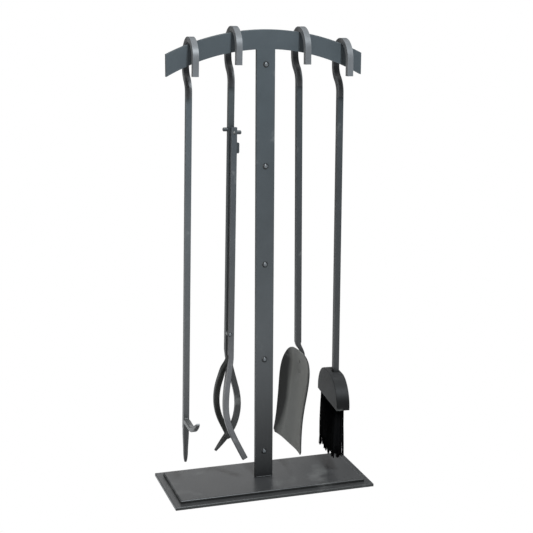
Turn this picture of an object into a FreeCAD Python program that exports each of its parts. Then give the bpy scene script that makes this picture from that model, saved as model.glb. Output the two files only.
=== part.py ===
import FreeCAD, Part
import os, math

# Fireplace tool set: stand with an arched hanging bar, poker, log tongs,
# shovel and brush.  Millimetres, +Z up, origin at the centre of the base's
# underside, the row's front is -Y.
V = FreeCAD.Vector
os.makedirs("parts", exist_ok=True)

# ---------------------------------------------------------------- dimensions
BASE_W, BASE_D = 357.0, 160.0        # lower plate
PANEL_W, PANEL_D = 332.0, 132.0      # raised panel on it
FOOT_H = 2.0                         # pads under the plate
PLATE_T = 5.0
PANEL_T = 5.0
Z_PLATE = FOOT_H
Z_PANEL = Z_PLATE + PLATE_T
Z_TOP = Z_PANEL + PANEL_T            # top of the base, foot of the post

POST_W = 31.75                       # flat bar width
STRIP_T = 4.0                        # each of the post's two riveted straps
BAR_T = 2 * STRIP_T                  # arch and post thickness
ARCH_R = 383.1                       # upper edge of the arch
ARCH_ZC = 406.5                      # centre height of both its edges
ARCH_DROP = 32.0                     # band width, lower edge concentric
ARCH_HALF = 168.0                    # plumb-cut ends
RIVET_Z = [733.0, 564.8, 396.5, 228.2, 59.9]
RIVET_R, RIVET_HEAD_R, RIVET_HEAD_H = 2.5, 5.1, 3.0

BAR = 9.8                            # square bar of all four tools
EDGE = 1.3                           # its rounded corners
HOOK_R = 32.0                        # hook centreline radius
ROD_Y = 9.8                          # main rod plane, just behind the arch
HOOK_CROWN = 8.2                     # bar drawn a little thinner over the top
S_TOP = 37.5                         # where the S-bend starts below the seat
SEAT_GAP = 0.6                       # 0.3 mm of it is the crown's own curve over the bar
HOOK_SPLIT = 90.0                    # hook pieces end this far below the seat

POKER_X, POKER_LEAN = -126.6, 1.0
TONGS_X, TONGS_LEAN = -54.5, 0.90
SHOVEL_X, SHOVEL_LEAN = 61.7, -0.42
BRUSH_X, BRUSH_LEAN = 135.9, -0.14


def arch_top(x):
    return ARCH_ZC + math.sqrt(ARCH_R ** 2 - x * x)


def seat(x):
    # height of the hook's inner crown: clear of the sloping arch edge
    return max(arch_top(x - BAR / 2 + 0.6), arch_top(x + BAR / 2 - 0.6)) + SEAT_GAP


def arch_low(x):
    return ARCH_ZC + math.sqrt((ARCH_R - ARCH_DROP) ** 2 - x * x)


def box(x0, x1, y0, y1, z0, z1):
    return Part.makeBox(x1 - x0, y1 - y0, z1 - z0, V(x0, y0, z0))


def cyl(p, d, r, h):
    return Part.makeCylinder(r, h, V(*p), V(*d))


def fillet(shape, edges, r):
    # rounds the given edges, falling back to smaller radii
    for k in (1.0, 0.6, 0.3):
        try:
            s = shape.makeFillet(r * k, edges)
            if s.isValid() and s.Volume > 0:
                return s
        except Exception:
            pass
    return shape


def dome(p, d, r, h):
    # shallow domed head whose flat lies at p, rising along d
    R = (r * r + h * h) / (2 * h)
    dn = V(*d).normalize()
    c = V(*p) - dn * (R - h)
    s = Part.makeSphere(R, c)
    m = Part.makeCylinder(r + 1, h + 1, V(*p), dn)
    return s.common(m)


def one(shape):
    s = shape.removeSplitter()
    return s.Solids[0] if len(s.Solids) == 1 else s


def write(name, shape):
    shape.exportStep("parts/%s.step" % name)
    print("%-24s solids %d valid %s vol %.0f" % (name, len(shape.Solids), shape.isValid(), shape.Volume))


def lean(shape, x, deg):
    s = shape.copy()
    s.rotate(V(x, 0, seat(x)), V(0, 1, 0), deg)
    return s


def split(shape, x):
    # the hook with its S-bend, and the straight bar below it
    top = box(x - 40, x + 40, -60, 60, seat(x) - HOOK_SPLIT, seat(x) + 20)
    return one(shape.common(top)), one(shape.cut(top))


def lean_pt(p, x, deg):
    q = V(*p) - V(x, 0, seat(x))
    return FreeCAD.Rotation(V(0, 1, 0), deg).multVec(q) + V(x, 0, seat(x))


# ---------------------------------------------------------------- the stand
plate = box(-BASE_W / 2, BASE_W / 2, -BASE_D / 2, BASE_D / 2, Z_PLATE, Z_PANEL)
plate = fillet(plate, [e for e in plate.Edges if e.BoundBox.ZMin > Z_PANEL - 0.1], 1.2)
plate = fillet(plate, [e for e in plate.Edges if e.BoundBox.ZLength > 2], 1.5)
panel = box(-PANEL_W / 2, PANEL_W / 2, -PANEL_D / 2, PANEL_D / 2, Z_PANEL, Z_TOP)
panel = fillet(panel, [e for e in panel.Edges if e.BoundBox.ZMin > Z_TOP - 0.1], 2.2)

# countersunk screws from below hold the panel on the plate
screws = []
for sx in (-1, 1):
    for sy in (-1, 1):
        px, py = sx * 120.0, sy * 40.0
        s = cyl((px, py, Z_PLATE), (0, 0, 1), 2.5, PLATE_T + 3.5)
        s = s.fuse(Part.makeCone(5.0, 2.5, 2.6, V(px, py, Z_PLATE), V(0, 0, 1)))
        s = s.cut(cyl((px, py, Z_PLATE - 1), (0, 0, 1), 1.6, 2.6))
        screws.append(s.removeSplitter())
        hole = cyl((px, py, Z_PLATE), (0, 0, 1), 2.5, PLATE_T + 3.5).fuse(
            Part.makeCone(5.0, 2.5, 2.6, V(px, py, Z_PLATE), V(0, 0, 1)))
        plate = plate.cut(hole)
        panel = panel.cut(hole)
feet = []
for sx in (-1, 1):
    for sy in (-1, 1):
        f = cyl((sx * 158.0, sy * 62.0, 0), (0, 0, 1), 11.0, FOOT_H)
        feet.append(fillet(f, [e for e in f.Edges if e.BoundBox.ZMax < 0.1], 0.4))

# arch: concentric edges, plumb-cut ends
zt0, zte = arch_top(0), arch_top(ARCH_HALF)
H, D = ARCH_HALF, ARCH_DROP


def arch_face(y, w=H):
    ze = arch_top(w)
    top = Part.Arc(V(-w, y, ze), V(0, y, zt0), V(w, y, ze)).toShape()
    zl = arch_low(w)
    bot = Part.Arc(V(-w, y, zl), V(0, y, zt0 - D), V(w, y, zl)).toShape()
    l = Part.LineSegment(V(-w, y, ze), V(-w, y, zl)).toShape()
    r = Part.LineSegment(V(w, y, ze), V(w, y, zl)).toShape()
    return Part.Face(Part.Wire(Part.__sortEdges__([top, r, bot, l])))


arch = arch_face(-BAR_T / 2).extrude(V(0, BAR_T, 0))
# rounded outer edges, square where the post is welded on
arch = fillet(arch, [e for e in arch.Edges if e.BoundBox.ZMax > zt0 - 1 and e.BoundBox.XLength > 300], 0.9)

# post: two straps side by side in Y, coped to the arch's lower arc
cut_r = Part.makeCylinder(ARCH_R - D, BAR_T + 4, V(0, -BAR_T / 2 - 2, ARCH_ZC), V(0, 1, 0)).fuse(
    box(-40, 40, -BAR_T / 2 - 2, BAR_T / 2 + 2, 0, 500))
front = one(box(-POST_W / 2, POST_W / 2, -STRIP_T, 0, Z_TOP, zt0).common(cut_r))
rear = one(box(-POST_W / 2, POST_W / 2, 0, STRIP_T, Z_TOP, zt0).common(cut_r))
front = fillet(front, [e for e in front.Edges if e.BoundBox.ZLength > 500 and e.BoundBox.YMax < -STRIP_T + 0.1], 0.7)
rear = fillet(rear, [e for e in rear.Edges if e.BoundBox.ZLength > 500 and e.BoundBox.YMin > STRIP_T - 0.1], 0.7)
rivets = []
for z in RIVET_Z:
    sh = cyl((0, -STRIP_T, z), (0, 1, 0), RIVET_R, BAR_T)
    front = front.cut(sh)
    rear = rear.cut(sh)
    r = sh.fuse(dome((0, -STRIP_T, z), (0, -1, 0), RIVET_HEAD_R, RIVET_HEAD_H))
    r = r.fuse(dome((0, STRIP_T, z), (0, 1, 0), 4.2, 1.6))
    rivets.append(r.removeSplitter())

# fillet weld round the post's foot
wl = 3.0
hw, hd = POST_W / 2, BAR_T / 2
bead = []
for (p, q, r) in (((-hw, -hd), (hw, -hd), (0, -1)), ((-hw, hd), (hw, hd), (0, 1))):
    tri = Part.Face(Part.makePolygon([V(p[0], p[1], Z_TOP), V(p[0], p[1] + r[1] * wl, Z_TOP),
                                      V(p[0], p[1] + r[1] * wl * 0.45, Z_TOP + wl * 0.45),
                                      V(p[0], p[1], Z_TOP + wl), V(p[0], p[1], Z_TOP)]))
    bead.append(tri.extrude(V(2 * hw, 0, 0)))
bead = [one(b) for b in bead]


# ---------------------------------------------------------------- hooked rods
def band(x, pts_end_z, leg):
    # planar band (in the YZ plane) of a hooked bar, extruded to a square bar.
    z0 = seat(x)
    h = BAR / 2
    zc = z0 - (HOOK_R - h)                     # hook centre height
    ri, ro = HOOK_R - h, HOOK_R + h
    # the S-bend: two equal arcs shifting the bar from y=HOOK_R to y=ROD_Y
    shift = HOOK_R - ROD_Y
    rs = 30.0
    th = math.acos(1 - shift / (2 * rs))
    zs = z0 - S_TOP
    c1 = (HOOK_R - rs, zs)
    c2 = (HOOK_R - rs + 2 * rs * math.cos(th), zs - 2 * rs * math.sin(th))
    z_end_s = c2[1]

    def P(y, z):
        return V(x - h, y, z)

    def arc(c, r, a0, a1):
        am = (a0 + a1) / 2
        f = lambda a: P(c[0] + r * math.cos(a), c[1] + r * math.sin(a))
        return Part.Arc(f(a0), f(am), f(a1)).toShape()

    def line(a, b):
        return Part.LineSegment(a, b).toShape()
    E = []
    # outer side: front leg outside, over the top, back leg outside
    E.append(line(P(-ro, z0 - leg), P(-ro, zc)))
    top = Part.BSplineCurve()
    n = 24
    top.interpolate([P(-ro * math.cos(math.pi * k / n), zc + (ri + HOOK_CROWN) * math.sin(math.pi * k / n)) for k in range(n + 1)],
                    InitialTangent=V(0, 0, 1), FinalTangent=V(0, 0, -1))
    E.append(top.toShape())
    E.append(line(P(ro, zc), P(ro, zs)))
    E.append(arc(c1, rs + h, 0, -th))
    E.append(arc(c2, rs - h, math.pi - th, math.pi))
    ye_o = c2[0] - (rs - h)
    E.append(line(P(ye_o, c2[1]), P(ye_o, pts_end_z)))
    E.append(line(P(ye_o, pts_end_z), P(ye_o - BAR, pts_end_z)))
    # inner side back up
    ye_i = c2[0] - (rs + h)
    E.append(line(P(ye_i, pts_end_z), P(ye_i, c2[1])))
    E.append(arc(c2, rs + h, math.pi, math.pi - th))
    E.append(arc(c1, rs - h, -th, 0))
    E.append(line(P(ri, zs), P(ri, zc)))
    E.append(arc((0, zc), ri, 0, math.pi))
    E.append(line(P(-ri, zc), P(-ri, z0 - leg)))
    E.append(line(P(-ri, z0 - leg), P(-ro, z0 - leg)))
    f = Part.Face(Part.Wire(E))
    s = f.extrude(V(BAR, 0, 0))
    long_edges = []
    for e in s.Edges:
        bb = e.BoundBox
        if bb.XLength < 0.1 and not (abs(bb.ZMin - pts_end_z) < 0.05 and bb.ZLength < 0.05):
            long_edges.append(e)
    s = fillet(s, long_edges, EDGE)
    return s


def ring(c, u, v, a, b, r):
    # square with chamfered corners: half sizes a, b along u, v
    u = V(u).normalize()
    v = V(v).normalize()
    c = V(*c)
    q = [(a, -b + r), (a, b - r), (a - r, b), (-a + r, b), (-a, b - r), (-a, -b + r), (-a + r, -b), (a - r, -b)]
    return [c + u * x + v * y for (x, y) in q]


def tine(pts, sizes, ref, r=1.3):
    # bar along smooth points; sizes are half sizes (across ref, along ref).
    # Its long edges are splines, joined by ruled faces and closed by flat ends.
    bs = Part.BSplineCurve()
    bs.interpolate([V(*p) for p in pts])
    par = [bs.parameter(V(*p)) for p in pts]
    rings = []
    for i, p in enumerate(pts):
        t = bs.tangent(par[i])[0]
        rf = V(*ref)
        v = rf - t * rf.dot(t)
        v.normalize()
        u = v.cross(t)
        a, b = sizes[i]
        rings.append(ring(p, u, v, a, b, min(r, a * 0.5, b * 0.5)))
    n = len(rings[0])
    curves = []
    for j in range(n):
        c = Part.BSplineCurve()
        c.interpolate(Points=[g[j] for g in rings], Parameters=par)
        curves.append(c.toShape())
    faces = [Part.makeRuledSurface(curves[j], curves[(j + 1) % n]) for j in range(n)]
    for g in (rings[0], rings[-1]):
        faces.append(Part.Face(Part.makePolygon(g + [g[0]])))
    sh = Part.makeShell(faces)
    sh.sewShape()
    so = Part.makeSolid(sh)
    if so.Volume < 0:
        so.reverse()
    fixed = so.copy()
    fixed.fix(0.001, 0.001, 0.01)
    return fixed if fixed.isValid() else so


# ---------------------------------------------------------------- poker
zs = seat(POKER_X)
POKER_TIP_Z, POKER_TAPER_Z = 51.0, 112.0
pk = band(POKER_X, POKER_TAPER_Z, 54.0)
tip = tine([(POKER_X, ROD_Y, POKER_TAPER_Z), (POKER_X, ROD_Y, POKER_TAPER_Z - 14),
            (POKER_X, ROD_Y, POKER_TAPER_Z - 34), (POKER_X, ROD_Y, POKER_TIP_Z + 4),
            (POKER_X, ROD_Y, POKER_TIP_Z)],
           [(4.9, 4.9), (4.75, 4.75), (3.9, 3.9), (2.7, 2.7), (1.9, 1.9)], (0, 1, 0))
pk = pk.fuse(tip)
# spur: welded to the front of the rod, runs forward and curls up
SPUR_Z = 126.0
yf = ROD_Y - BAR / 2
spur = tine([(POKER_X, yf, SPUR_Z), (POKER_X, yf - 14, SPUR_Z + 0.3), (POKER_X, yf - 30, SPUR_Z - 0.6),
             (POKER_X, yf - 45, SPUR_Z + 1.2), (POKER_X, yf - 58, SPUR_Z + 7),
             (POKER_X, yf - 70, SPUR_Z + 15), (POKER_X, yf - 78, SPUR_Z + 21.5)],
            [(4.9, 4.9), (4.9, 4.6), (4.9, 4.4), (4.9, 4.3), (4.8, 3.9), (4.2, 2.8), (3.0, 1.3)], (0, 0, 1))
spur = spur.cut(box(POKER_X - 20, POKER_X + 20, yf, yf + 30, SPUR_Z - 30, SPUR_Z + 30))
poker_hook, poker_shaft = [lean(s, POKER_X, POKER_LEAN) for s in split(pk, POKER_X)]
poker_spur = lean(one(spur), POKER_X, POKER_LEAN)

# ---------------------------------------------------------------- tongs
TX = TONGS_X
PIVOT_Z = 278.0
PIN_R = 2.5
WASHER_T = 0.8
REIN_Y1 = ROD_Y - BAR / 2 - WASHER_T         # rear face of the rein
REIN_Y0 = REIN_Y1 - BAR
REIN_YC = (REIN_Y0 + REIN_Y1) / 2
REIN_TOP = 631.0
REIN_DX = 2.6
main_end = 246.0
mb = band(TX, main_end, 53.0)
jawB = tine([(TX, ROD_Y, main_end), (TX + 1.2, ROD_Y, 236), (TX + 5.1, ROD_Y, 217), (TX + 10.9, ROD_Y, 195),
             (TX + 17.1, ROD_Y, 172), (TX + 19.9, ROD_Y, 150), (TX + 17.5, ROD_Y, 126),
             (TX + 8.3, ROD_Y, 102), (TX - 2.5, ROD_Y, 87), (TX - 12.1, ROD_Y, 74.5), (TX - 19.6, ROD_Y, 65)],
            [(4.9, 4.9), (4.9, 4.9), (4.9, 4.9), (5.0, 4.9), (5.0, 4.9), (5.0, 4.9), (5.0, 4.9),
             (4.8, 4.7), (4.2, 4.2), (3.2, 3.4), (2.0, 2.2)], (0, 1, 0))
mb = mb.fuse(jawB)
pin_axis0 = (TX, REIN_Y0 - 1.0, PIVOT_Z)
pin = cyl((TX, REIN_Y0 - 0.15, PIVOT_Z), (0, 1, 0), PIN_R, ROD_Y + BAR / 2 - REIN_Y0 + 0.15)
mb = mb.cut(cyl((TX, 0, PIVOT_Z), (0, 1, 0), PIN_R, 40))
pin = pin.fuse(dome((TX, REIN_Y0 - 0.15, PIVOT_Z), (0, -1, 0), 3.6, 1.7))
pin = pin.fuse(dome((TX, ROD_Y + BAR / 2, PIVOT_Z), (0, 1, 0), 3.6, 1.4))
washer = cyl((TX, REIN_Y1 + 0.05, PIVOT_Z), (0, 1, 0), 4.7, WASHER_T - 0.05).cut(
    cyl((TX, 0, PIVOT_Z), (0, 1, 0), PIN_R, 40))
rein = box(TX + REIN_DX - BAR / 2, TX + REIN_DX + BAR / 2, REIN_Y0, REIN_Y1, 236.0, REIN_TOP)
rein = fillet(rein, [e for e in rein.Edges if e.BoundBox.ZLength > 300], EDGE)
rein = rein.cut(cyl((TX, -40, PIVOT_Z), (0, 1, 0), PIN_R + 0.06, 60))
# front tine: forged on from the rein's end, splays forward and crosses right
tC = [(TX + REIN_DX, REIN_YC, 236.0), (TX + 1.8, REIN_YC - 0.8, 228), (TX - 1.0, REIN_YC - 4.0, 213),
      (TX - 4.8, REIN_YC - 9.0, 195), (TX - 8.0, REIN_YC - 14, 178), (TX - 9.8, REIN_YC - 17.5, 160),
      (TX - 9.0, REIN_YC - 19.5, 140), (TX - 3.6, REIN_YC - 20.5, 118), (TX + 6.6, REIN_YC - 21, 94),
      (TX + 16.0, REIN_YC - 21, 75.5), (TX + 24.8, REIN_YC - 21, 58.5)]
sC = [(4.9, 4.9)] * 11
jawC = tine(tC, sC, (0, 1, 0))
rein = rein.fuse(jawC)
# rear tine: welded to the rein's left side, passes the main rod on the left
yA = ROD_Y + 24.0
xl = TX + REIN_DX - BAR / 2
tA = [(xl - 1.6, REIN_YC, 240.0), (xl - 2.3, REIN_YC + 0.4, 230), (TX - 7.8, REIN_YC + 4.4, 219),
      (TX - 9.8, REIN_YC + 12.5, 203), (TX - 11.6, REIN_YC + 22.0, 185), (TX - 12.6, REIN_YC + 29.6, 166),
      (TX - 12.0, yA - 1, 146), (TX - 6.8, yA, 121), (TX + 5.0, yA, 95), (TX + 12.8, yA, 78.0)]
sA = [(3.2, 1.8), (4.0, 2.6), (4.6, 3.8), (4.9, 4.7), (4.9, 4.9), (4.9, 4.9), (4.9, 4.9), (4.9, 4.9),
      (4.9, 4.9), (4.9, 4.9)]
jawA = tine(tA, sA, (1, 0, 0))
rein_one = one(rein)
jawA = one(jawA.cut(rein_one))
lug = box(TX + REIN_DX + BAR / 2, TX + REIN_DX + BAR / 2 + 4.2, REIN_YC - 3.6, REIN_YC + 3.6, 588, 606)
lug = fillet(lug, [e for e in lug.Edges if e.BoundBox.XMin > TX + REIN_DX + BAR / 2 + 4.1 and e.BoundBox.ZLength < 1], 2.6)
rp = (TX + REIN_DX + BAR / 2, REIN_YC, 622.5)
rpeg = cyl(rp, (1, 0, 0), 3.3, 7.9)
rpeg = fillet(rpeg, [e for e in rpeg.Edges if e.BoundBox.XMin > rp[0] + 7.5], 1.8)
lp = (TX - BAR / 2, ROD_Y, 626.5)
lpeg = cyl(lp, (-1, 0, 0), 3.3, 8.5)
lpeg = fillet(lpeg, [e for e in lpeg.Edges if e.BoundBox.XMax < lp[0] - 8], 1.8)

# ---------------------------------------------------------------- shovel
SX = SHOVEL_X
PAN_T = 1.8
ZB = 65.0


def xb(z):
    # back of the pan, relative to the rod axis, as a function of height
    pts = [(50, -17.5), (66, -15.0), (95, -10.2), (125, -5.4), (155, -0.8), (180, 2.6), (200, 4.6), (215, 4.8),
           (228, 3.2), (240, -0.8), (250, -6.0)]
    for (a, b) in zip(pts, pts[1:]):
        if z <= b[0]:
            t = (z - a[0]) / (b[0] - a[0])
            return a[1] + (b[1] - a[1]) * t
    return pts[-1][1]


def table(pts, z):
    for (a, b) in zip(pts, pts[1:]):
        if z <= b[0]:
            t = (z - a[0]) / (b[0] - a[0])
            return a[1] + (b[1] - a[1]) * t
    return pts[-1][1]


# how far the turned-up sides stand out from the flat floor, and the pan's
# half width there
LIP = [(50, 3.4), (66, 4.2), (95, 6.6), (125, 8.8), (155, 10.0), (188, 9.6), (215, 8.6), (250, 8.0)]
HALF_W = [(50, 66.5), (76, 63.2), (95, 60.6), (120, 59.4), (145, 60.6), (168, 63.4), (188, 65.0), (250, 65.0)]
FLAT = 0.40

secs = []
for z in (52, 70, 92, 116, 140, 164, 186, 204, 218, 230, 240, 248):
    d, wl, x_out = table(LIP, z), table(HALF_W, z), SX + xb(z)
    ys = [-1.12, -1.0, -0.88, -0.76, -0.64, -0.5, -0.25, 0.0, 0.25, 0.5, 0.64, 0.76, 0.88, 1.0, 1.12]
    g = lambda t: max(0.0, (abs(t) - FLAT) / (1 - FLAT)) ** 2
    po = [V(x_out - d * g(t), ROD_Y + t * wl, z) for t in ys]
    pi_ = [V(x_out - PAN_T - d * g(t), ROD_Y + t * wl, z) for t in ys]
    a = Part.BSplineCurve()
    a.interpolate(po)
    b = Part.BSplineCurve()
    b.interpolate(pi_)
    secs.append(Part.Wire([a.toShape(), Part.LineSegment(po[-1], pi_[-1]).toShape(), b.toShape(),
                           Part.LineSegment(pi_[0], po[0]).toShape()]))
trough = Part.makeLoft(secs, True, False)
half = [(65.2, 71.0), (63.2, 80), (60.6, 97), (59.4, 120), (60.6, 145), (63.4, 168), (64.6, 186), (62.4, 202),
        (55.5, 216), (44.0, 227), (29.0, 233.4), (12.0, 235.8)]
pts = [V(-60 + SX, ROD_Y + y, z) for (y, z) in half] + [V(-60 + SX, ROD_Y - y, z) for (y, z) in reversed(half)]
oc = Part.BSplineCurve()
oc.interpolate(pts)
cr, cl = V(-60 + SX, ROD_Y - 61.0, ZB), V(-60 + SX, ROD_Y + 61.0, ZB)
outline = Part.Face(Part.Wire([oc.toShape(), Part.LineSegment(pts[-1], cr).toShape(),
                               Part.LineSegment(cr, cl).toShape(), Part.LineSegment(cl, pts[0]).toShape()]))
prism = outline.extrude(V(120, 0, 0))
pan = one(trough.common(prism))
YAW_S = 2.8
pan.rotate(V(SX, ROD_Y, 0), V(0, 0, 1), YAW_S)

ss = band(SX, 250.0, 52.2)
neck = tine([(SX, ROD_Y, 250.0), (SX + 0.8, ROD_Y, 245.5), (SX + 4.4, ROD_Y, 239.0), (SX + 7.8, ROD_Y, 231.0),
             (SX + 8.6, ROD_Y, 218), (SX + 8.0, ROD_Y, 203), (SX + 6.2, ROD_Y, 186)],
            [(4.9, 4.9), (4.2, 5.0), (3.2, 5.6), (2.8, 7.0), (2.6, 8.0), (2.6, 8.0), (2.4, 7.0)], (0, 1, 0))
ss = ss.fuse(neck)
srv = []
for z in (214.0, 196.0):
    x0 = SX + xb(z) - PAN_T
    sh = cyl((x0, ROD_Y, z), (1, 0, 0), 2.2, SX + 11.2 - x0 if z > 200 else SX + 10.0 - x0)
    r = sh.fuse(dome((x0 + 0.2, ROD_Y, z), (-1, 0, 0), 3.9, 1.7))
    xe = SX + (11.2 if z > 200 else 10.0)
    r = r.fuse(dome((xe - 0.2, ROD_Y, z), (1, 0, 0), 3.9, 1.6))
    srv.append(r.removeSplitter())
ss = ss.cut(pan)
ss = max(ss.Solids, key=lambda s: s.Volume)
srv2 = []
for r in srv:
    pan = pan.cut(r)
    ss = ss.cut(r)
pan = max(pan.Solids, key=lambda s: s.Volume)
ss = max(ss.Solids, key=lambda s: s.Volume)

# ---------------------------------------------------------------- brush
BX = BRUSH_X
HEAD_Z0, HEAD_Z1 = 138.5, 190.5
HEAD_HALF = 65.0
HEAD_T = 23.5
HEAD_DX, REAR_LONGER = -2.8, 3.0     # head set off the rod, longer at the rear
WALL = 2.0
prof = [(HEAD_HALF, HEAD_Z0), (HEAD_HALF + 0.2, 147), (63.2, 156.5), (58.0, 167.5), (49.5, 177.6), (38.5, 185.2), (26.5, 189.5), (16.0, HEAD_Z1)]


def head_solid(half_t, off, z0):
    sc = [(y - off if y > 20 else y, z - (off if z > HEAD_Z0 + 1 else 0)) for (y, z) in prof]
    sc[0] = (sc[0][0], z0)
    right = [V(BX + HEAD_DX - half_t, ROD_Y + y + REAR_LONGER * y / HEAD_HALF, z) for (y, z) in sc]
    left = [V(BX + HEAD_DX - half_t, ROD_Y - y, z) for (y, z) in sc]
    c1 = Part.BSplineCurve(); c1.interpolate(right[1:])
    c2 = Part.BSplineCurve(); c2.interpolate(list(reversed(left))[:-1])
    E = [Part.LineSegment(right[0], right[1]).toShape(), c1.toShape(),
         Part.LineSegment(right[-1], left[-1]).toShape(), c2.toShape(),
         Part.LineSegment(left[1], left[0]).toShape(), Part.LineSegment(left[0], right[0]).toShape()]
    return Part.Face(Part.Wire(E)).extrude(V(2 * half_t, 0, 0))


cover = head_solid(HEAD_T / 2, 0, HEAD_Z0)
cover = fillet(cover, [e for e in cover.Edges if e.BoundBox.XLength < 0.1 and not (e.BoundBox.ZLength < 0.05 and e.BoundBox.ZMin < HEAD_Z0 + 1)], 1.1)
inner = head_solid(HEAD_T / 2 - WALL, WALL, HEAD_Z0 - 1)
cover = cover.cut(inner)
block = head_solid(HEAD_T / 2 - WALL, WALL, HEAD_Z0 + 1.5)
sock = box(BX - BAR / 2, BX + BAR / 2, ROD_Y - BAR / 2, ROD_Y + BAR / 2, HEAD_Z1 - 28, HEAD_Z1 + 5)
recess = box(BX - 6.6, BX + 6.6, ROD_Y - 6.6, ROD_Y + 6.6, HEAD_Z1 - WALL - 3, HEAD_Z1 + 5)
YAW_B = -5.9
bs_shaft = band(BX, HEAD_Z1 - 28, 53.2)
for s in (cover, block):
    s.rotate(V(BX, ROD_Y, 0), V(0, 0, 1), YAW_B)
rec = recess.copy(); rec.rotate(V(BX, ROD_Y, 0), V(0, 0, 1), YAW_B)
cover = cover.cut(rec)
block = block.cut(rec).cut(bs_shaft)
bscrew = cyl((BX, ROD_Y, HEAD_Z0 + 1.5), (0, 0, 1), 2.0, 42).fuse(cyl((BX, ROD_Y, HEAD_Z0 + 1.5), (0, 0, 1), 4.2, 3.0))
block = block.cut(bscrew)
bs_shaft = bs_shaft.cut(bscrew)
BR_TOP, BR_NEAR, BR_FAR = HEAD_Z0 + 1.5, 49.0, 36.0
HX = BX + HEAD_DX
bl = [V(HX - 8.2, ROD_Y - 43, BR_TOP), V(HX + 7.6, ROD_Y - 43, BR_TOP), V(HX + 7.6, ROD_Y + 62, BR_TOP), V(HX - 8.2, ROD_Y + 62, BR_TOP)]
br = [V(HX - 9.6, ROD_Y - 40, BR_NEAR), V(HX + 7.2, ROD_Y - 40, BR_NEAR), V(HX + 7.2, ROD_Y + 68, BR_FAR), V(HX - 9.6, ROD_Y + 68, BR_FAR)]
bristles = Part.makeLoft([Part.makePolygon(br + [br[0]]), Part.makePolygon(bl + [bl[0]])], True, True)
bristles.rotate(V(BX, ROD_Y, 0), V(0, 0, 1), YAW_B)

# ---------------------------------------------------------------- output
write("base_plate", one(plate))
write("base_panel", one(panel))
write("base_screws", Part.makeCompound(screws))
write("base_feet", Part.makeCompound(feet))
write("arch_bar", one(arch))
write("post_front_strap", one(front))
write("post_rear_strap", one(rear))
write("post_rivets", Part.makeCompound(rivets))
write("post_foot_weld", Part.makeCompound(bead))
write("poker_hook", poker_hook)
write("poker_shaft", poker_shaft)
write("poker_spur", poker_spur)
tongs_hook, mb = split(mb, TX)
shovel_hook, ss = split(ss, SX)
brush_hook, bs_shaft = split(bs_shaft, BX)
for nm, s in (("tongs_hook", tongs_hook), ("tongs_main_bar", mb), ("tongs_pivot_rivet", pin), ("tongs_pivot_washer", washer), ("tongs_left_peg", lpeg),
              ("tongs_rein", rein_one), ("tongs_rear_tine", jawA), ("tongs_rein_lug", lug), ("tongs_right_peg", rpeg)):
    write(nm, lean(one(s), TX, TONGS_LEAN))
for nm, s in (("shovel_hook", shovel_hook), ("shovel_shaft", ss), ("shovel_pan", pan)):
    write(nm, lean(one(s), SX, SHOVEL_LEAN))
write("shovel_rivets", lean(Part.makeCompound(srv), SX, SHOVEL_LEAN))
for nm, s in (("brush_hook", brush_hook), ("brush_shaft", bs_shaft), ("brush_cover", cover), ("brush_block", block), ("brush_screw", bscrew), ("brush_bristles", bristles)):
    write(nm, lean(one(s), BX, BRUSH_LEAN))
pv = lean_pt((TX, REIN_YC, PIVOT_Z), TX, TONGS_LEAN)
print("pivot %.4f %.4f %.4f" % (pv.x, pv.y, pv.z))
for n, x in (("poker", POKER_X), ("tongs", TX), ("shovel", SX), ("brush", BX)):
    print(n, "seat", round(seat(x), 3))
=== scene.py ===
import math
import random

import bmesh
import bpy
import numpy as np
from mathutils import Matrix, Vector, noise


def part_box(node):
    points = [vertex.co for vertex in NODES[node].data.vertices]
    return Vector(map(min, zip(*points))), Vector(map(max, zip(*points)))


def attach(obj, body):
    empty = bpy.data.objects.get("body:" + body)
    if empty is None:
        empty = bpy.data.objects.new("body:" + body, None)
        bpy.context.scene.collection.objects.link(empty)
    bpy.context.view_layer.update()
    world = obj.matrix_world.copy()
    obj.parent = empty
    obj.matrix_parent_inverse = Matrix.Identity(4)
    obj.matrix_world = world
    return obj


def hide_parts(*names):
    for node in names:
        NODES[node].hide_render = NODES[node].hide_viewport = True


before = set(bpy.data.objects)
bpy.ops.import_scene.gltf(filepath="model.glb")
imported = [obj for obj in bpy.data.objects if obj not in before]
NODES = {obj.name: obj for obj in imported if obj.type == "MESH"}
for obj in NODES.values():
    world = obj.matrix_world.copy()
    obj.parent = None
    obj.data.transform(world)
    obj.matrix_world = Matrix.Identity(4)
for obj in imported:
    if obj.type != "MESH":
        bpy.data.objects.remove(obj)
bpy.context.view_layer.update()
random.seed(41)
rng = np.random.default_rng(41)
scene = bpy.context.scene
scene.view_settings.view_transform = "Standard"
scene.view_settings.look = "None"
scene.view_settings.exposure = 0.0
scene.view_settings.gamma = 1.0
MM = 0.001


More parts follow.
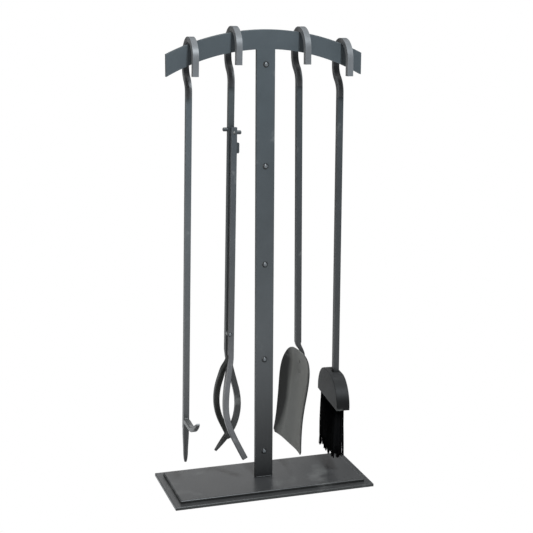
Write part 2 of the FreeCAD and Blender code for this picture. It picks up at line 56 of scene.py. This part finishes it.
# ------------------------------------------------------------------ materials
class Net:
    """Short hand for building a node tree."""

    def __init__(self, name):
        self.mat = bpy.data.materials.new(name)
        self.mat.use_nodes = True
        self.t = self.mat.node_tree
        self.t.nodes.clear()
        self.out = self.t.nodes.new("ShaderNodeOutputMaterial")
        self.bsdf = self.t.nodes.new("ShaderNodeBsdfPrincipled")
        self.t.links.new(self.bsdf.outputs[0], self.out.inputs[0])
        tc = self.t.nodes.new("ShaderNodeTexCoord")
        self.obj = tc.outputs["Object"]

    def link(self, a, b):
        self.t.links.new(a, b)

    def mapped(self, scale):
        m = self.t.nodes.new("ShaderNodeMapping")
        m.inputs["Scale"].default_value = scale
        self.link(self.obj, m.inputs["Vector"])
        return m.outputs[0]

    def noise(self, vec, scale, detail=4.0, rough=0.5, distort=0.0):
        n = self.t.nodes.new("ShaderNodeTexNoise")
        n.inputs["Scale"].default_value = scale
        n.inputs["Detail"].default_value = detail
        n.inputs["Roughness"].default_value = rough
        n.inputs["Distortion"].default_value = distort
        self.link(vec, n.inputs["Vector"])
        return n.outputs["Fac"]

    def voronoi(self, vec, scale):
        n = self.t.nodes.new("ShaderNodeTexVoronoi")
        n.feature = "SMOOTH_F1"
        n.inputs["Scale"].default_value = scale
        n.inputs["Smoothness"].default_value = 0.6
        self.link(vec, n.inputs["Vector"])
        return n.outputs["Distance"]

    def ramp(self, fac, stops):
        r = self.t.nodes.new("ShaderNodeValToRGB")
        e = r.color_ramp.elements
        while len(e) < len(stops):
            e.new(0.5)
        for el, (p, c) in zip(e, stops):
            el.position = p
            el.color = (*c, 1.0) if len(c) == 3 else c
        self.link(fac, r.inputs[0])
        return r.outputs[0]

    def span(self, fac, a0, a1, b0, b1):
        m = self.t.nodes.new("ShaderNodeMapRange")
        m.inputs["From Min"].default_value = a0
        m.inputs["From Max"].default_value = a1
        m.inputs["To Min"].default_value = b0
        m.inputs["To Max"].default_value = b1
        self.link(fac, m.inputs["Value"])
        return m.outputs[0]

    def math(self, op, a, b):
        m = self.t.nodes.new("ShaderNodeMath")
        m.operation = op
        for k, v in enumerate((a, b)):
            if isinstance(v, (int, float)):
                m.inputs[k].default_value = v
            else:
                self.link(v, m.inputs[k])
        return m.outputs[0]

    def mix(self, fac, a, b, blend="MIX"):
        m = self.t.nodes.new("ShaderNodeMix")
        m.data_type = "RGBA"
        m.blend_type = blend
        for s, v in ((m.inputs[0], fac), (m.inputs[6], a), (m.inputs[7], b)):
            if isinstance(v, (int, float)):
                s.default_value = v
            elif isinstance(v, tuple):
                s.default_value = (*v, 1.0)
            else:
                self.link(v, s)
        return m.outputs[2]

    def edge(self, dist, samples=4):
        """0 on flats, towards 1 on outer edges."""
        a = self.t.nodes.new("ShaderNodeAmbientOcclusion")
        a.inside = True
        a.samples = samples
        a.inputs["Distance"].default_value = dist
        return self.span(a.outputs["AO"], 0.5, 0.8, 0.0, 1.0)

    def crease(self, dist, samples=4):
        """1 in the open, towards 0 in corners and under things."""
        a = self.t.nodes.new("ShaderNodeAmbientOcclusion")
        a.samples = samples
        a.inputs["Distance"].default_value = dist
        return a.outputs["AO"]

    def bumps(self, layers):
        """layers: (height, strength, distance), laid over each other."""
        prev = None
        for h, s, d in layers:
            b = self.t.nodes.new("ShaderNodeBump")
            b.inputs["Strength"].default_value = s
            b.inputs["Distance"].default_value = d
            self.link(h, b.inputs["Height"])
            if prev is not None:
                self.link(prev, b.inputs["Normal"])
            prev = b.outputs[0]
        self.link(prev, self.bsdf.inputs["Normal"])


def paint(name, low, mid, high, rough=(0.42, 0.56), grain=(1, 1, 1), mottle=55.0, dents=0.5,
          spec=0.5, rub=0.35, top=None, painted_shade_by_height=None, coarse=0.0, painted_side_shade=None, edge_w=0.0007, edge_shade_k=0.55, shade=0.14, back=None, outer=0.0):
    """Satin paint over metal: mottled tone, fine orange peel, rubbed edges, painted shade in corners and along edges,
    and optional painted light and shade by height, depth and face direction.
    """
    n = Net(name)
    v = n.mapped((1, 1, 1))
    g = n.mapped(grain)
    cloud = n.noise(v, mottle * 0.25, 4.0, 0.6)
    fine = n.noise(g, mottle * 9.0, 5.0, 0.6, 0.2)
    tone = n.ramp(cloud, [(0.30, low), (0.52, mid), (0.74, high)])
    speck = n.ramp(fine, [(0.35, (0.955,) * 3), (0.5, (1.0, 1.0, 1.0)), (0.68, (1.05,) * 3)])
    col = n.mix(1.0, tone, speck, "MULTIPLY")
    if top is not None:
        # painted light: a cooler tint towards the top of the piece, standing in for the bluish light from above
        sep = n.t.nodes.new("ShaderNodeSeparateXYZ")
        n.link(n.obj, sep.inputs[0])
        up = n.span(sep.outputs[2], top[0], top[1], 0.0, 1.0)
        col = n.mix(up, col, n.mix(1.0, col, top[2], "MULTIPLY"))
    if painted_shade_by_height is not None:
        # painted shade by height: the tone is darkened more at some heights than others, where less light falls:
        # (height, share of full tone)
        sep = n.t.nodes.new("ShaderNodeSeparateXYZ")
        n.link(n.obj, sep.inputs[0])
        zf = n.span(sep.outputs[2], 0.0, 0.8, 0.0, 1.0)
        col = n.mix(1.0, col, n.ramp(zf, [(z / 0.8, (f, f, f)) for z, f in painted_shade_by_height]), "MULTIPLY")
    if back is not None:
        # painted shade: darker tone behind the bar, where the piece lies in its shade: (from y, to y, share of tone)
        sep = n.t.nodes.new("ShaderNodeSeparateXYZ")
        n.link(n.obj, sep.inputs[0])
        yb = n.span(sep.outputs[1], back[0], back[1], 0.0, 1.0)
        col = n.mix(yb, col, n.mix(1.0, col, (back[2],) * 3, "MULTIPLY"))
    # painted shade: darker in corners, creases and under things
    shade_ao = n.crease(0.010)
    col = n.mix(n.span(shade_ao, 0.35, 1.0, 0.55, 0.0), col, n.mix(1.0, col, (0.35, 0.34, 0.33), "MULTIPLY"))
    if painted_side_shade is not None:
        # painted shade: faces turned sideways (the turned-up sides) are darkened by their direction; the outer option
        # also darkens faces turned to the right
        tc = n.t.nodes.new("ShaderNodeTexCoord")
        sn = n.t.nodes.new("ShaderNodeSeparateXYZ")
        n.link(tc.outputs["Normal"], sn.inputs[0])
        side = n.math("ABSOLUTE", sn.outputs[1], 0.0)
        side = n.math("ADD", side, n.math("MULTIPLY", n.span(cloud, 0.3, 0.7, -1.0, 1.0), 0.03))
        mask = n.span(side, painted_side_shade[0], painted_side_shade[1], 0.0, painted_side_shade[2])
        if outer:
            mask = n.math("MAXIMUM", mask, n.span(sn.outputs[0], 0.05, 0.35, 0.0, outer))
        col = n.mix(mask, col, n.mix(1.0, col, (shade, shade, shade * 0.95), "MULTIPLY"))
    # arrises: painted shade, a little darker along the edges, with a few rubbed spots of wear
    e = n.edge(edge_w)
    col = n.mix(n.math("MULTIPLY", e, edge_shade_k), col, n.mix(1.0, col, (0.45, 0.45, 0.46), "MULTIPLY"))
    worn = n.math("MULTIPLY", n.math("MULTIPLY", e, n.span(cloud, 0.60, 0.72, 0.0, 1.0)), rub)
    col = n.mix(worn, col, (0.22, 0.22, 0.21))
    n.link(col, n.bsdf.inputs["Base Color"])
    r = n.span(fine, 0.3, 0.7, rough[0], rough[1])
    r = n.math("ADD", r, n.math("MULTIPLY", n.span(cloud, 0.3, 0.7, -1.0, 1.0), 0.035))
    n.link(r, n.bsdf.inputs["Roughness"])
    n.bsdf.inputs["Metallic"].default_value = 0.0
    n.bsdf.inputs["Specular IOR Level"].default_value = spec
    peel = n.noise(v, 1400.0, 2.0, 0.5)
    dent = n.noise(g, 150.0, 3.0, 0.55)
    layers = [(peel, 0.16, 0.00008), (dent, dents, 0.00020)]
    if coarse:
        layers.append((n.noise(g, 38.0, 2.0, 0.5), coarse, 0.0008))
    n.bumps(layers)
    return n.mat


# painted light: cool tint laid on the tops of the pieces
TOP_LIGHT_TINT = (0.88, 1.04, 1.13)
def tones(mid, spread=0.11, warm=(1.0, 1.0, 1.0)):
    return [tuple(mid * k * w for w in warm) for k in (1 - spread, 1.0, 1 + spread)]


# painted light and shade: the parts below share one dark paint, with tones fitted part by part to how each is lit, so
# the hooks, rein and shovel pan are lit copies and the main bar and rear tine shaded copies
m_stand = paint("stand_paint", *tones(0.063, 0.10, (0.98, 1.0, 1.01)), rough=(0.42, 0.50), dents=0.10,
                top=(0.12, 0.66, TOP_LIGHT_TINT), spec=0.36,
                painted_shade_by_height=[(0.0, 0.20), (0.07, 0.30), (0.13, 0.56), (0.20, 0.88), (0.28, 1.0), (0.42, 0.84), (0.62, 0.86), (0.8, 1.0)])
m_base = paint("base_paint", *tones(0.036, 0.14), rough=(0.33, 0.41), dents=0.03, mottle=60, spec=0.5, rub=0.2,
               painted_side_shade=(0.5, 0.9, 0.9), shade=0.25)
m_poker = paint("poker_paint", *tones(0.076, 0.13), rough=(0.34, 0.44), grain=(1, 1, 0.35), dents=0.35,
                top=(0.25, 0.66, TOP_LIGHT_TINT), spec=0.45, rub=0.4, coarse=0.20, painted_shade_by_height=[(0.0, 0.60), (0.22, 0.85), (0.40, 1.0), (0.8, 1.0)])
m_tool = paint("tool_paint", *tones(0.038, 0.13), rough=(0.36, 0.46), grain=(1, 1, 0.35), dents=0.35,
               top=(0.25, 0.66, TOP_LIGHT_TINT), spec=0.40, rub=0.4, coarse=0.20,
               painted_shade_by_height=[(0.0, 0.75), (0.25, 0.80), (0.40, 0.85), (0.60, 1.0), (0.8, 1.0)])
m_hook = paint("hook_paint", *tones(0.130, 0.13, (0.97, 1.0, 1.03)), rough=(0.36, 0.46), grain=(1, 1, 0.5), dents=0.35,
               spec=0.35, rub=0.5, coarse=0.20, back=(0.000, 0.008, 0.42))
m_rein = paint("rein_paint", *tones(0.110, 0.13, (1.0, 0.985, 1.0)), rough=(0.34, 0.44), grain=(1, 1, 0.35), dents=0.35,
               top=(0.25, 0.66, TOP_LIGHT_TINT), spec=0.45, rub=0.5, coarse=0.22,
               painted_shade_by_height=[(0.0, 0.55), (0.08, 0.66), (0.14, 1.0), (0.22, 0.85), (0.30, 0.52), (0.8, 0.50)])
m_main = paint("main_paint", *tones(0.055, 0.13, (1.0, 1.0, 0.96)), rough=(0.36, 0.46), grain=(1, 1, 0.35), dents=0.35,
               top=(0.25, 0.66, TOP_LIGHT_TINT), spec=0.40, rub=0.4, coarse=0.22,
               painted_shade_by_height=[(0.0, 0.42), (0.20, 0.42), (0.26, 0.60), (0.6, 0.85), (0.8, 1.0)])
m_claw = paint("claw_paint", *tones(0.075, 0.14, (1.0, 1.0, 0.97)), rough=(0.30, 0.40), grain=(1, 1, 0.4), dents=0.40,
               spec=0.55, rub=0.45, coarse=0.25)
m_jaw = paint("jaw_paint", *tones(0.018, 0.14, (1.0, 1.0, 0.86)), rough=(0.40, 0.50), grain=(1, 1, 0.4), dents=0.40,
              spec=0.28, rub=0.35, coarse=0.25)
m_pan = paint("pan_paint", *tones(0.190, 0.06, (1.0, 1.0, 0.92)), rough=(0.46, 0.56), dents=0.12, spec=0.22, rub=0.4,
              coarse=0.06, painted_side_shade=(0.10, 0.28, 1.0), edge_w=0.0005, edge_shade_k=0.7, shade=0.04, outer=0.9)
m_pan_rivet = paint("pan_rivet_paint", *tones(0.150, 0.08, (1.0, 1.0, 0.92)), rough=(0.46, 0.56), dents=0.12, spec=0.22,
                    rub=0.3)
m_cover = paint("cover_paint", *tones(0.028, 0.13), rough=(0.48, 0.58), dents=0.15, spec=0.18, rub=0.4, coarse=0.08,
                painted_side_shade=(0.35, 0.80, 1.0), shade=0.06)


def rivet_paint():
    n = Net("rivet_paint")
    v = n.mapped((1, 1, 1))
    fine = n.noise(v, 420.0, 5.0, 0.65)
    col = n.ramp(fine, [(0.3, (0.055, 0.058, 0.062)), (0.55, (0.085, 0.09, 0.094)), (0.75, (0.14, 0.145, 0.15))])
    # painted shade: a dark ring in the creases round the head
    e = n.crease(0.004, 6)
    col = n.mix(n.span(e, 0.4, 1.0, 0.9, 0.0), col, (0.012, 0.012, 0.013))
    tc = n.t.nodes.new("ShaderNodeTexCoord")
    sn = n.t.nodes.new("ShaderNodeSeparateXYZ")
    n.link(tc.outputs["Normal"], sn.inputs[0])
    # painted shade: the flanks of the head are darkened by their direction, leaving its face lighter
    flank_shade = n.span(n.math("ABSOLUTE", sn.outputs[1], 0.0), 0.80, 0.93, 0.95, 0.0)
    col = n.mix(flank_shade, col, (0.006, 0.006, 0.007))
    n.link(col, n.bsdf.inputs["Base Color"])
    n.link(n.span(fine, 0.3, 0.7, 0.24, 0.40), n.bsdf.inputs["Roughness"])
    n.bsdf.inputs["Specular IOR Level"].default_value = 0.35
    n.bumps([(n.noise(v, 1500.0, 2.0, 0.5), 0.2, 0.0001), (n.noise(v, 300.0, 2.0, 0.5), 0.5, 0.0003)])
    return n.mat


def zinc():
    n = Net("zinc_plate")
    v = n.mapped((1, 1, 1))
    f = n.noise(v, 700.0, 4.0, 0.6)
    n.link(n.ramp(f, [(0.3, (0.34, 0.34, 0.33)), (0.7, (0.56, 0.56, 0.55))]), n.bsdf.inputs["Base Color"])
    n.link(n.span(f, 0.3, 0.7, 0.28, 0.5), n.bsdf.inputs["Roughness"])
    n.bsdf.inputs["Metallic"].default_value = 1.0
    n.bumps([(f, 0.2, 0.0001)])
    return n.mat


def rubber():
    n = Net("foot_rubber")
    v = n.mapped((1, 1, 1))
    f = n.noise(v, 900.0, 4.0, 0.6)
    n.link(n.ramp(f, [(0.3, (0.018, 0.018, 0.018)), (0.7, (0.036, 0.036, 0.035))]), n.bsdf.inputs["Base Color"])
    n.link(n.span(f, 0.3, 0.7, 0.7, 0.9), n.bsdf.inputs["Roughness"])
    n.bumps([(f, 0.4, 0.0002)])
    return n.mat


def plastic_block():
    n = Net("block_plastic")
    v = n.mapped((1, 1, 1))
    f = n.noise(v, 260.0, 5.0, 0.6)
    n.link(n.ramp(f, [(0.3, (0.008, 0.008, 0.008)), (0.7, (0.02, 0.02, 0.02))]), n.bsdf.inputs["Base Color"])
    n.link(n.span(f, 0.3, 0.7, 0.5, 0.7), n.bsdf.inputs["Roughness"])
    n.bumps([(f, 0.3, 0.0003)])
    return n.mat


def fibre():
    n = Net("bristle_fibre")
    v = n.mapped((1, 1, 0.15))
    f = n.noise(v, 900.0, 4.0, 0.6)
    n.link(n.ramp(f, [(0.3, (0.0010, 0.0010, 0.0012)), (0.6, (0.0022, 0.0022, 0.0026)), (0.8, (0.008, 0.009, 0.011))]),
           n.bsdf.inputs["Base Color"])
    n.link(n.span(f, 0.3, 0.7, 0.36, 0.55), n.bsdf.inputs["Roughness"])
    n.bsdf.inputs["Specular IOR Level"].default_value = 0.10
    n.bumps([(f, 0.2, 0.0001)])
    return n.mat


m_rivet, m_zinc, m_rubber, m_block, m_fibre = rivet_paint(), zinc(), rubber(), plastic_block(), fibre()


def dress(node, mat):
    o = NODES[node]
    o.data.materials.clear()
    o.data.materials.append(mat)


for nd, mt in {
    "base_plate": m_base, "base_panel": m_base, "base_screws": m_zinc, "base_feet": m_rubber,
    "arch_bar": m_stand, "post_front_strap": m_stand, "post_rear_strap": m_stand, "post_rivets": m_rivet,
    "post_foot_weld": m_stand, "poker_hook": m_hook, "poker_shaft": m_poker, "poker_spur": m_claw,
    "tongs_hook": m_hook, "tongs_main_bar": m_main, "tongs_pivot_rivet": m_rivet, "tongs_pivot_washer": m_zinc,
    "tongs_left_peg": m_tool, "tongs_rein": m_rein, "tongs_rear_tine": m_jaw, "tongs_rein_lug": m_tool,
    "tongs_right_peg": m_tool, "shovel_hook": m_hook, "shovel_shaft": m_tool, "shovel_pan": m_pan,
    "shovel_rivets": m_pan_rivet, "brush_hook": m_hook, "brush_shaft": m_tool, "brush_cover": m_cover,
    "brush_block": m_block, "brush_screw": m_zinc, "brush_bristles": m_fibre,
}.items():
    dress(nd, mt)


# ------------------------------------------------------------------ mesh help
def make(name, verts, faces, mat, body, replaces=(), smooth=True):
    me = bpy.data.meshes.new(name)
    me.from_pydata([tuple(v) for v in verts], [], faces)
    me.validate()
    me.materials.append(mat)
    if smooth:
        me.polygons.foreach_set("use_smooth", [True] * len(me.polygons))
    me.update()
    o = bpy.data.objects.new(name, me)
    scene.collection.objects.link(o)
    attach(o, body)
    if replaces:
        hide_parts(*replaces)
    return o


def tube(path, radii, sides, up=Vector((0, 0, 1)), wobble=0.0, seed=0, cap=True):
    """Round or many-sided bar along a path; returns vertices and faces."""
    verts, faces = [], []
    n = len(path)
    for i, p in enumerate(path):
        t = (path[min(i + 1, n - 1)] - path[max(i - 1, 0)]).normalized()
        a = up.cross(t)
        if a.length < 1e-4:
            a = Vector((1, 0, 0)).cross(t)
        a.normalize()
        b = t.cross(a)
        for k in range(sides):
            w = 2 * math.pi * k / sides
            r = radii[i]
            d = a * math.cos(w) + b * math.sin(w)
            if wobble:
                r *= 1 + wobble * noise.noise((p + d * r) * 700.0 + Vector((seed, 0, 0)))
            verts.append(p + d * r)
    for i in range(n - 1):
        for k in range(sides):
            k2 = (k + 1) % sides
            faces.append((i * sides + k, i * sides + k2, (i + 1) * sides + k2, (i + 1) * sides + k))
    if cap:
        faces.append(tuple(reversed(range(sides))))
        faces.append(tuple(range((n - 1) * sides, n * sides)))
    return verts, faces


def bead(name, pts, width, mat, body, replaces=(), pitch=2.2 * MM, sides=10, seed=1):
    """A weld bead: a low ridge with the ripples of a hand-run weld."""
    pts = [Vector(p) for p in pts]
    L = [0.0]
    for a, b in zip(pts, pts[1:]):
        L.append(L[-1] + (b - a).length)
    n = max(8, int(L[-1] / (pitch / 5)))
    path, radii = [], []
    for i in range(n + 1):
        s = L[-1] * i / n
        k = max(j for j in range(len(L)) if L[j] <= s + 1e-12)
        k = min(k, len(pts) - 2)
        f = (s - L[k]) / max(L[k + 1] - L[k], 1e-9)
        path.append(pts[k].lerp(pts[k + 1], f))
        ph = (s / pitch) % 1.0
        r = width * (0.80 + 0.20 * math.sqrt(max(0.0, 1 - (2 * ph - 1) ** 2)))
        r *= 1 + 0.14 * noise.noise(Vector((s * 260, seed * 3.1, 0)))
        r *= min(1.0, 0.45 + 0.55 * min(i, n - i) / 4.0)
        radii.append(r)
    v, f = tube(path, radii, sides, wobble=0.10, seed=seed)
    return make(name, v, f, mat, body, replaces)


# ------------------------------------------------------------------ stand weld
p_lo, p_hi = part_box("post_front_strap")
r_lo, r_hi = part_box("post_rear_strap")
z_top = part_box("base_panel")[1].z
wx0, wx1 = p_lo.x + 0.6 * MM, p_hi.x - 0.6 * MM
f_bead = bead("post_weld_front", [(wx0, p_lo.y - 0.7 * MM, z_top + 0.5 * MM), (wx1, p_lo.y - 0.7 * MM, z_top + 0.5 * MM)],
              1.75 * MM, m_stand, "stand", ("post_foot_weld",), seed=2)
b_bead = bead("post_weld_rear", [(wx0, r_hi.y + 0.7 * MM, z_top + 0.5 * MM), (wx1, r_hi.y + 0.7 * MM, z_top + 0.5 * MM)],
              1.75 * MM, m_stand, "stand", seed=5)

# weld where the spur meets the poker, and the riveted end of the loose arm's peg
sp_lo, sp_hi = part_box("poker_spur")
sx = (sp_lo.x + sp_hi.x) / 2
bead("poker_spur_weld", [(sx - 4.3 * MM, sp_hi.y - 0.5 * MM, 0.1316), (sx + 4.3 * MM, sp_hi.y - 0.5 * MM, 0.1316)],
     1.3 * MM, m_claw, "poker", seed=9)
pg_lo, pg_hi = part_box("tongs_right_peg")
pc = Vector((pg_lo.x - 5.0 * MM, (pg_lo.y + pg_hi.y) / 2 - 4.9 * MM, (pg_lo.z + pg_hi.z) / 2))
hv, hf = tube([pc + Vector((0, d * MM, 0)) for d in (0.6, 0.0, -0.7, -1.3, -1.7)],
              [r * MM for r in (2.9, 2.9, 2.5, 1.6, 0.5)], 20, wobble=0.04, seed=3)
make("tongs_peg_end", hv, hf, m_claw, "tongs_arm")

# ------------------------------------------------------------------ bristles
b_lo, b_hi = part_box("brush_bristles")
LEAN_B, YAW_B = math.radians(-0.14), math.radians(-5.9)
AX, AY = 0.1359, 0.0098
SEAT_B = 0.766888
HEAD_DX = -0.0028


def brush_pt(x, y, z):
    """Brush frame (x across, y along, z height) to the row frame."""
    c, s = math.cos(YAW_B), math.sin(YAW_B)
    x += HEAD_DX
    px, py = AX + x * c - y * s, AY + x * s + y * c
    dx, dz = px - AX, z - SEAT_B
    c, s = math.cos(LEAN_B), math.sin(LEAN_B)
    return Vector((AX + dx * c + dz * s, py, SEAT_B - dx * s + dz * c))


def bristles():
    verts, faces = [], []
    top, R = 0.1395, 0.00030
    rows, cols = 9, 50
    y0, y1, hx = -0.0420, 0.0612, 0.0076
    tufts = []
    for c in range(cols):
        for r in range(rows):
            y = y0 + (y1 - y0) * (c + 0.5 * (r % 2) + 0.25) / cols
            x = -hx + 2 * hx * (r + 0.5) / rows
            tufts.append((x + rng.normal(0, 0.0002), y + rng.normal(0, 0.0003)))
    sides = 3
    for (tx, ty) in tufts:
        cx = tx / hx
        cy = (ty - (y0 + y1) / 2) / ((y1 - y0) / 2)
        cell = Vector((math.floor(ty / 0.0062 + 0.5 * (tx > 0)), math.floor(tx / 0.0052), 0.0))
        lock = noise.cell(cell + Vector((0.5, 0.5, 7.5)))
        cut = 0.0062 * (lock - 0.5) + rng.normal(0, 0.0008)
        gx = (cell.y + 0.5) * 0.0052 - tx
        gy = (cell.x + 0.5 - 0.5 * (tx > 0)) * 0.0062 - ty
        lean_x = 0.30 * gx + 0.0024 * (noise.cell(cell + Vector((0.5, 0.5, 3.5))) - 0.5)
        lean_y = 0.30 * gy + 0.0060 * (noise.cell(cell + Vector((0.5, 0.5, 5.5))) - 0.5)
        for k in range(9):
            a, q = rng.uniform(0, 2 * math.pi), 0.00105 * math.sqrt(rng.uniform(0, 1))
            x0, yy0 = tx + q * math.cos(a), ty + q * math.sin(a)
            # ends are cut on a slant: lower at the back, ragged all over
            zb = 0.0520 - 0.0125 * (0.5 + 0.5 * cy) + rng.normal(0, 0.0007) + cut
            if rng.uniform() < 0.07:
                zb += rng.uniform(0.003, 0.012)
            stray = rng.uniform() < 0.035
            amp = 3.2 if stray else 1.0
            sx = cx * 0.0012 + lean_x + rng.normal(0, 0.0004) * amp
            sy = cy * 0.0026 + lean_y + rng.normal(0, 0.0005) * amp
            edge_y = max(0.0, abs(cy) - 0.86) / 0.14
            sy += math.copysign(edge_y, cy) * abs(rng.normal(0, 0.0010))
            bow = rng.normal(0, 0.0007) * amp
            pts = []
            for t in (0.0, 0.28, 0.55, 0.8, 1.0):
                pts.append(brush_pt(x0 + sx * t ** 1.6 + bow * math.sin(math.pi * t),
                                    yy0 + sy * t ** 1.6 + 0.6 * bow * math.sin(math.pi * t * 1.3),
                                    top + (zb - top) * t))
            rr = R * rng.uniform(0.85, 1.2)
            v, f = tube(pts, [rr, rr, rr, rr * 0.9, rr * 0.55], sides, up=Vector((0, 1, 0)))
            n = len(verts)
            verts += v
            faces += [tuple(n + i for i in g) for g in f]
    return verts, faces


bv, bf = bristles()
brist = make("brush_fibres", bv, bf, m_fibre, "brush", ("brush_bristles",))


# ------------------------------------------------------------------ floor, light, camera
def plain(name, colour, rough, glow=0.0):
    m = bpy.data.materials.new(name)
    m.use_nodes = True
    b = m.node_tree.nodes["Principled BSDF"]
    b.inputs["Base Color"].default_value = (*colour, 1)
    b.inputs["Roughness"].default_value = rough
    b.inputs["Specular IOR Level"].default_value = 0.0
    b.inputs["Emission Color"].default_value = (1, 1, 1, 1)
    b.inputs["Emission Strength"].default_value = glow
    return m


fme = bpy.data.meshes.new("floor")
S = 9.0
fme.from_pydata([(-S, -S, 0), (S, -S, 0), (S, S, 0), (-S, S, 0)], [], [(0, 1, 2, 3)])
fm = plain("floor_white", (0.55, 0.55, 0.55), 0.9, 0.12)
ft = fm.node_tree
f_lp = ft.nodes.new("ShaderNodeLightPath")
f_em = ft.nodes.new("ShaderNodeEmission")
f_mx = ft.nodes.new("ShaderNodeMixShader")
ft.links.new(f_lp.outputs["Is Camera Ray"], f_mx.inputs[0])
ft.links.new(ft.nodes["Principled BSDF"].outputs[0], f_mx.inputs[1])
ft.links.new(f_em.outputs[0], f_mx.inputs[2])
ft.links.new(f_mx.outputs[0], ft.nodes["Material Output"].inputs[0])
fme.materials.append(fm)
floor = bpy.data.objects.new("floor", fme)
floor.location.z = -0.0002
scene.collection.objects.link(floor)

world = bpy.data.worlds.new("studio")
scene.world = world
world.use_nodes = True
wt = world.node_tree
wt.nodes.clear()
wo = wt.nodes.new("ShaderNodeOutputWorld")
lit = wt.nodes.new("ShaderNodeBackground")
seen = wt.nodes.new("ShaderNodeBackground")
mixs = wt.nodes.new("ShaderNodeMixShader")
lp = wt.nodes.new("ShaderNodeLightPath")
lit.inputs[0].default_value = (0.93, 0.97, 1.0, 1)
lit.inputs[1].default_value = 0.15
seen.inputs[0].default_value = (1, 1, 1, 1)
seen.inputs[1].default_value = 1.0
wt.links.new(lp.outputs["Is Camera Ray"], mixs.inputs[0])
wt.links.new(lit.outputs[0], mixs.inputs[1])
wt.links.new(seen.outputs[0], mixs.inputs[2])
wt.links.new(mixs.outputs[0], wo.inputs[0])


def softbox(name, at, to, sx, sy, power, colour):
    d = bpy.data.lights.new(name, "AREA")
    d.shape = "RECTANGLE"
    d.size, d.size_y = sx, sy
    d.energy = power
    d.color = colour
    o = bpy.data.objects.new(name, d)
    o.location = at
    o.rotation_mode = "QUATERNION"
    o.rotation_quaternion = (Vector(to) - Vector(at)).to_track_quat("-Z", "Y")
    o.visible_camera = False
    scene.collection.objects.link(o)
    return o


softbox("top", (0.0, 0.1, 2.6), (0, 0.0, 0), 3.4, 3.0, 30, (1.0, 1.0, 0.99))
softbox("key_left", (-2.2, -0.3, 1.15), (0, 0, 0.40), 1.2, 1.7, 30, (1.0, 0.995, 0.97))
softbox("key_front", (0.10, -2.2, 2.9), (0, 0, 0.70), 0.35, 0.35, 190, (0.88, 0.95, 1.0))
softbox("fill_right", (2.6, 1.0, 1.3), (0, 0, 0.40), 2.0, 2.0, 34, (1.0, 1.0, 1.0))
softbox("back_card", (0.35, 3.2, 0.80), (0, 0, 0.10), 1.8, 1.3, 9, (1.0, 1.0, 1.0))

cam_d = bpy.data.cameras.new("camera")
cam = bpy.data.objects.new("camera", cam_d)
scene.collection.objects.link(cam)
scene.camera = cam
F_PX, DIST, AZ, PITCH, TX, TZ, ROLL = 1208.968, 2.0631716, -17.8594, 12.5281, 0.0037363, 0.3921381, -0.3181
a, e = math.radians(AZ), math.radians(PITCH)
back = Vector((math.sin(a) * math.cos(e), -math.cos(a) * math.cos(e), math.sin(e)))
right = Vector((math.cos(a), math.sin(a), 0))
up = back.cross(right)
rot = Matrix((right, up, back)).transposed() @ Matrix.Rotation(math.radians(-ROLL), 3, "Z")
cam.matrix_world = Matrix.Translation(Vector((0, 0, TZ)) + right * TX + back * DIST) @ rot.to_4x4()
cam_d.sensor_width = 36.0
cam_d.lens = F_PX * 36.0 / 533.0
cam_d.clip_start, cam_d.clip_end = 0.05, 60.0

bpy.context.view_layer.update()
